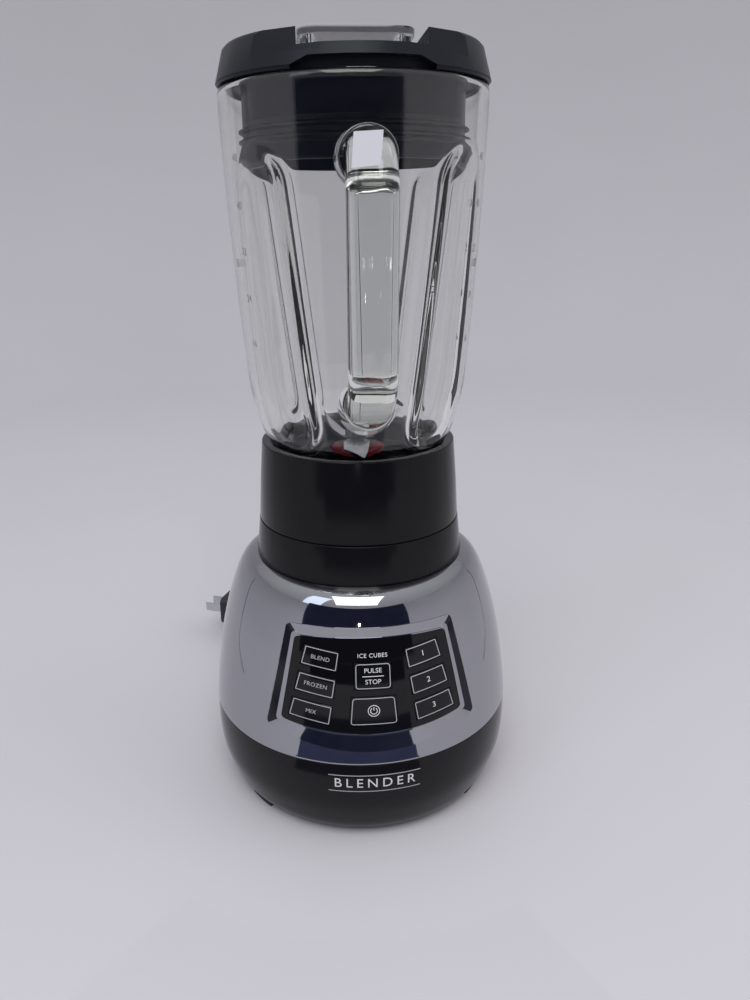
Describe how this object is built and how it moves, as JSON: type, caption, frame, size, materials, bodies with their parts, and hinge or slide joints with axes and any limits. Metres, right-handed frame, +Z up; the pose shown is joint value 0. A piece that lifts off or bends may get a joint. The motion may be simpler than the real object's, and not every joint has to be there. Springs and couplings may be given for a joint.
{
  "type": "countertop blender",
  "caption": "Countertop blender: fluted glass jar with loop handle on a rounded chrome and charcoal motor base with a key panel, lid and cap.",
  "frame": {"origin": "on the jar's axis, in the plane that the feet stand on", "axes": "+Z up along the jar's axis, -Y towards the front with the key panel and the handle, +X to the user's right"},
  "size_m": [0.2031, 0.3314, 0.408],
  "materials": {
    "dark_shell": "glossy dark charcoal moulding",
    "polished_chrome": "mirror polished",
    "black_plastic": "satin near-black moulding",
    "panel_black": "piano black",
    "key_black": "piano black",
    "cover_plastic": "fine texture",
    "foot_rubber": "matte",
    "zinc_steel": "zinc plated",
    "switch_plastic": "matte",
    "circuit_board": "green solder mask",
    "die_cast": "as cast",
    "bearing_steel": "ground",
    "lamination_steel": "stacked laminations",
    "copper_wire": "enamelled wire",
    "copper_bars": "turned copper",
    "brass_parts": "stamped brass",
    "carbon": "pressed carbon",
    "fan_plastic": "moulded",
    "coupling_plastic": "tough moulding",
    "holder_plastic": "satin",
    "red_silicone": "satin silicone",
    "blade_steel": "ground stainless steel",
    "clear_glass": "clear, faint green in the thick parts",
    "lid_plastic": "satin slate",
    "lid_rubber": "satin",
    "clear_plastic": "clear moulding",
    "cord_pvc": "satin",
    "plug_pvc": "satin"
  },
  "bodies": {
    "base": {"lower_shell": "dark_shell", "dome": "polished_chrome", "neck_ring": "black_plastic", "panel_frame": "polished_chrome", "control_panel": "panel_black", "bottom_cover": "cover_plastic", "feet": "foot_rubber", "cover_screws": "zinc_steel", "tactile_switches": "switch_plastic", "control_board": "circuit_board", "lower_bracket": "die_cast", "upper_bracket": "die_cast", "lower_bearing": "bearing_steel", "upper_bearing": "bearing_steel", "rubber_mounts": "foot_rubber", "stator_core": "lamination_steel", "field_coils": "copper_wire", "brush_holders": "brass_parts", "carbon_brushes": "carbon", "motor_screws": "zinc_steel", "strain_relief": "cord_pvc", "power_cord": "cord_pvc", "power_cord_coil": "cord_pvc", "power_cord_tail": "cord_pvc", "power_plug": "plug_pvc", "plug_blades": "brass_parts"},
    "rotor": {"motor_shaft": "bearing_steel", "armature_core": "lamination_steel", "armature_winding": "copper_wire", "commutator": "copper_bars", "cooling_fan": "fan_plastic", "drive_coupling": "coupling_plastic"},
    "collar": {"jar_base": "black_plastic", "blade_holder": "holder_plastic", "blade_bush": "brass_parts", "hub_seal": "red_silicone"},
    "gasket": {"jar_gasket": "red_silicone"},
    "jar": {"glass_jar": "clear_glass"},
    "blades": {"blade_shaft": "blade_steel", "blade_coupling": "coupling_plastic", "lower_blades": "blade_steel", "upper_blades": "blade_steel", "blade_nut": "blade_steel"},
    "lid": {"lid": "lid_plastic", "lid_seal": "lid_rubber"},
    "cap": {"lid_cap": "clear_plastic"},
    "key_blend": {"key_blend": "key_black"},
    "key_frozen": {"key_frozen": "key_black"},
    "key_mix": {"key_mix": "key_black"},
    "key_speed_1": {"key_speed_1": "key_black"},
    "key_speed_2": {"key_speed_2": "key_black"},
    "key_speed_3": {"key_speed_3": "key_black"},
    "key_pulse": {"key_pulse": "key_black"},
    "key_power": {"key_power": "key_black"}
  },
  "joints": [
    {"name": "motor_spin", "type": "hinge", "parent": "base", "child": "rotor", "pos_m": [0, 0, 0.08], "axis": [0, 0, 1], "continuous": true},
    {"name": "jar_lift", "type": "slide", "parent": "base", "child": "collar", "axis": [0, 0, 1], "range_m": [0, 0.08]},
    {"name": "gasket_rise", "type": "slide", "parent": "collar", "child": "gasket", "axis": [0, 0, 1], "range_m": [0, 0.005]},
    {"name": "jar_unscrew", "type": "hinge", "parent": "gasket", "child": "jar", "pos_m": [0, 0, 0.2], "axis": [0, 0, 1], "range_deg": [0, 300]},
    {"name": "blade_spin", "type": "hinge", "parent": "collar", "child": "blades", "pos_m": [0, 0, 0.18], "axis": [0, 0, 1], "continuous": true},
    {"name": "lid_lift", "type": "slide", "parent": "jar", "child": "lid", "axis": [0, 0, 1], "range_m": [0, 0.06]},
    {"name": "cap_lift", "type": "slide", "parent": "lid", "child": "cap", "axis": [0, 0, 1], "range_m": [0, 0.04]},
    {"name": "press_blend", "type": "slide", "parent": "base", "child": "key_blend", "axis": [0, 0.9781, -0.2079], "range_m": [0, 0.0006], "stiffness_N_per_m": 800, "springref_m": -0.0004},
    {"name": "press_frozen", "type": "slide", "parent": "base", "child": "key_frozen", "axis": [0, 0.9781, -0.2079], "range_m": [0, 0.0006], "stiffness_N_per_m": 800, "springref_m": -0.0004},
    {"name": "press_mix", "type": "slide", "parent": "base", "child": "key_mix", "axis": [0, 0.9781, -0.2079], "range_m": [0, 0.0006], "stiffness_N_per_m": 800, "springref_m": -0.0004},
    {"name": "press_speed_1", "type": "slide", "parent": "base", "child": "key_speed_1", "axis": [0, 0.9781, -0.2079], "range_m": [0, 0.0006], "stiffness_N_per_m": 800, "springref_m": -0.0004},
    {"name": "press_speed_2", "type": "slide", "parent": "base", "child": "key_speed_2", "axis": [0, 0.9781, -0.2079], "range_m": [0, 0.0006], "stiffness_N_per_m": 800, "springref_m": -0.0004},
    {"name": "press_speed_3", "type": "slide", "parent": "base", "child": "key_speed_3", "axis": [0, 0.9781, -0.2079], "range_m": [0, 0.0006], "stiffness_N_per_m": 800, "springref_m": -0.0004},
    {"name": "press_pulse", "type": "slide", "parent": "base", "child": "key_pulse", "axis": [0, 0.9781, -0.2079], "range_m": [0, 0.0006], "stiffness_N_per_m": 800, "springref_m": -0.0004},
    {"name": "press_power", "type": "slide", "parent": "base", "child": "key_power", "axis": [0, 0.9781, -0.2079], "range_m": [0, 0.0006], "stiffness_N_per_m": 800, "springref_m": -0.0004}
  ],
  "couplings": [
    {"joint": "blade_spin", "follows": "motor_spin", "ratio": 1},
    {"joint": "gasket_rise", "follows": "jar_unscrew", "m_per_rad": 0.00079577}
  ]
}
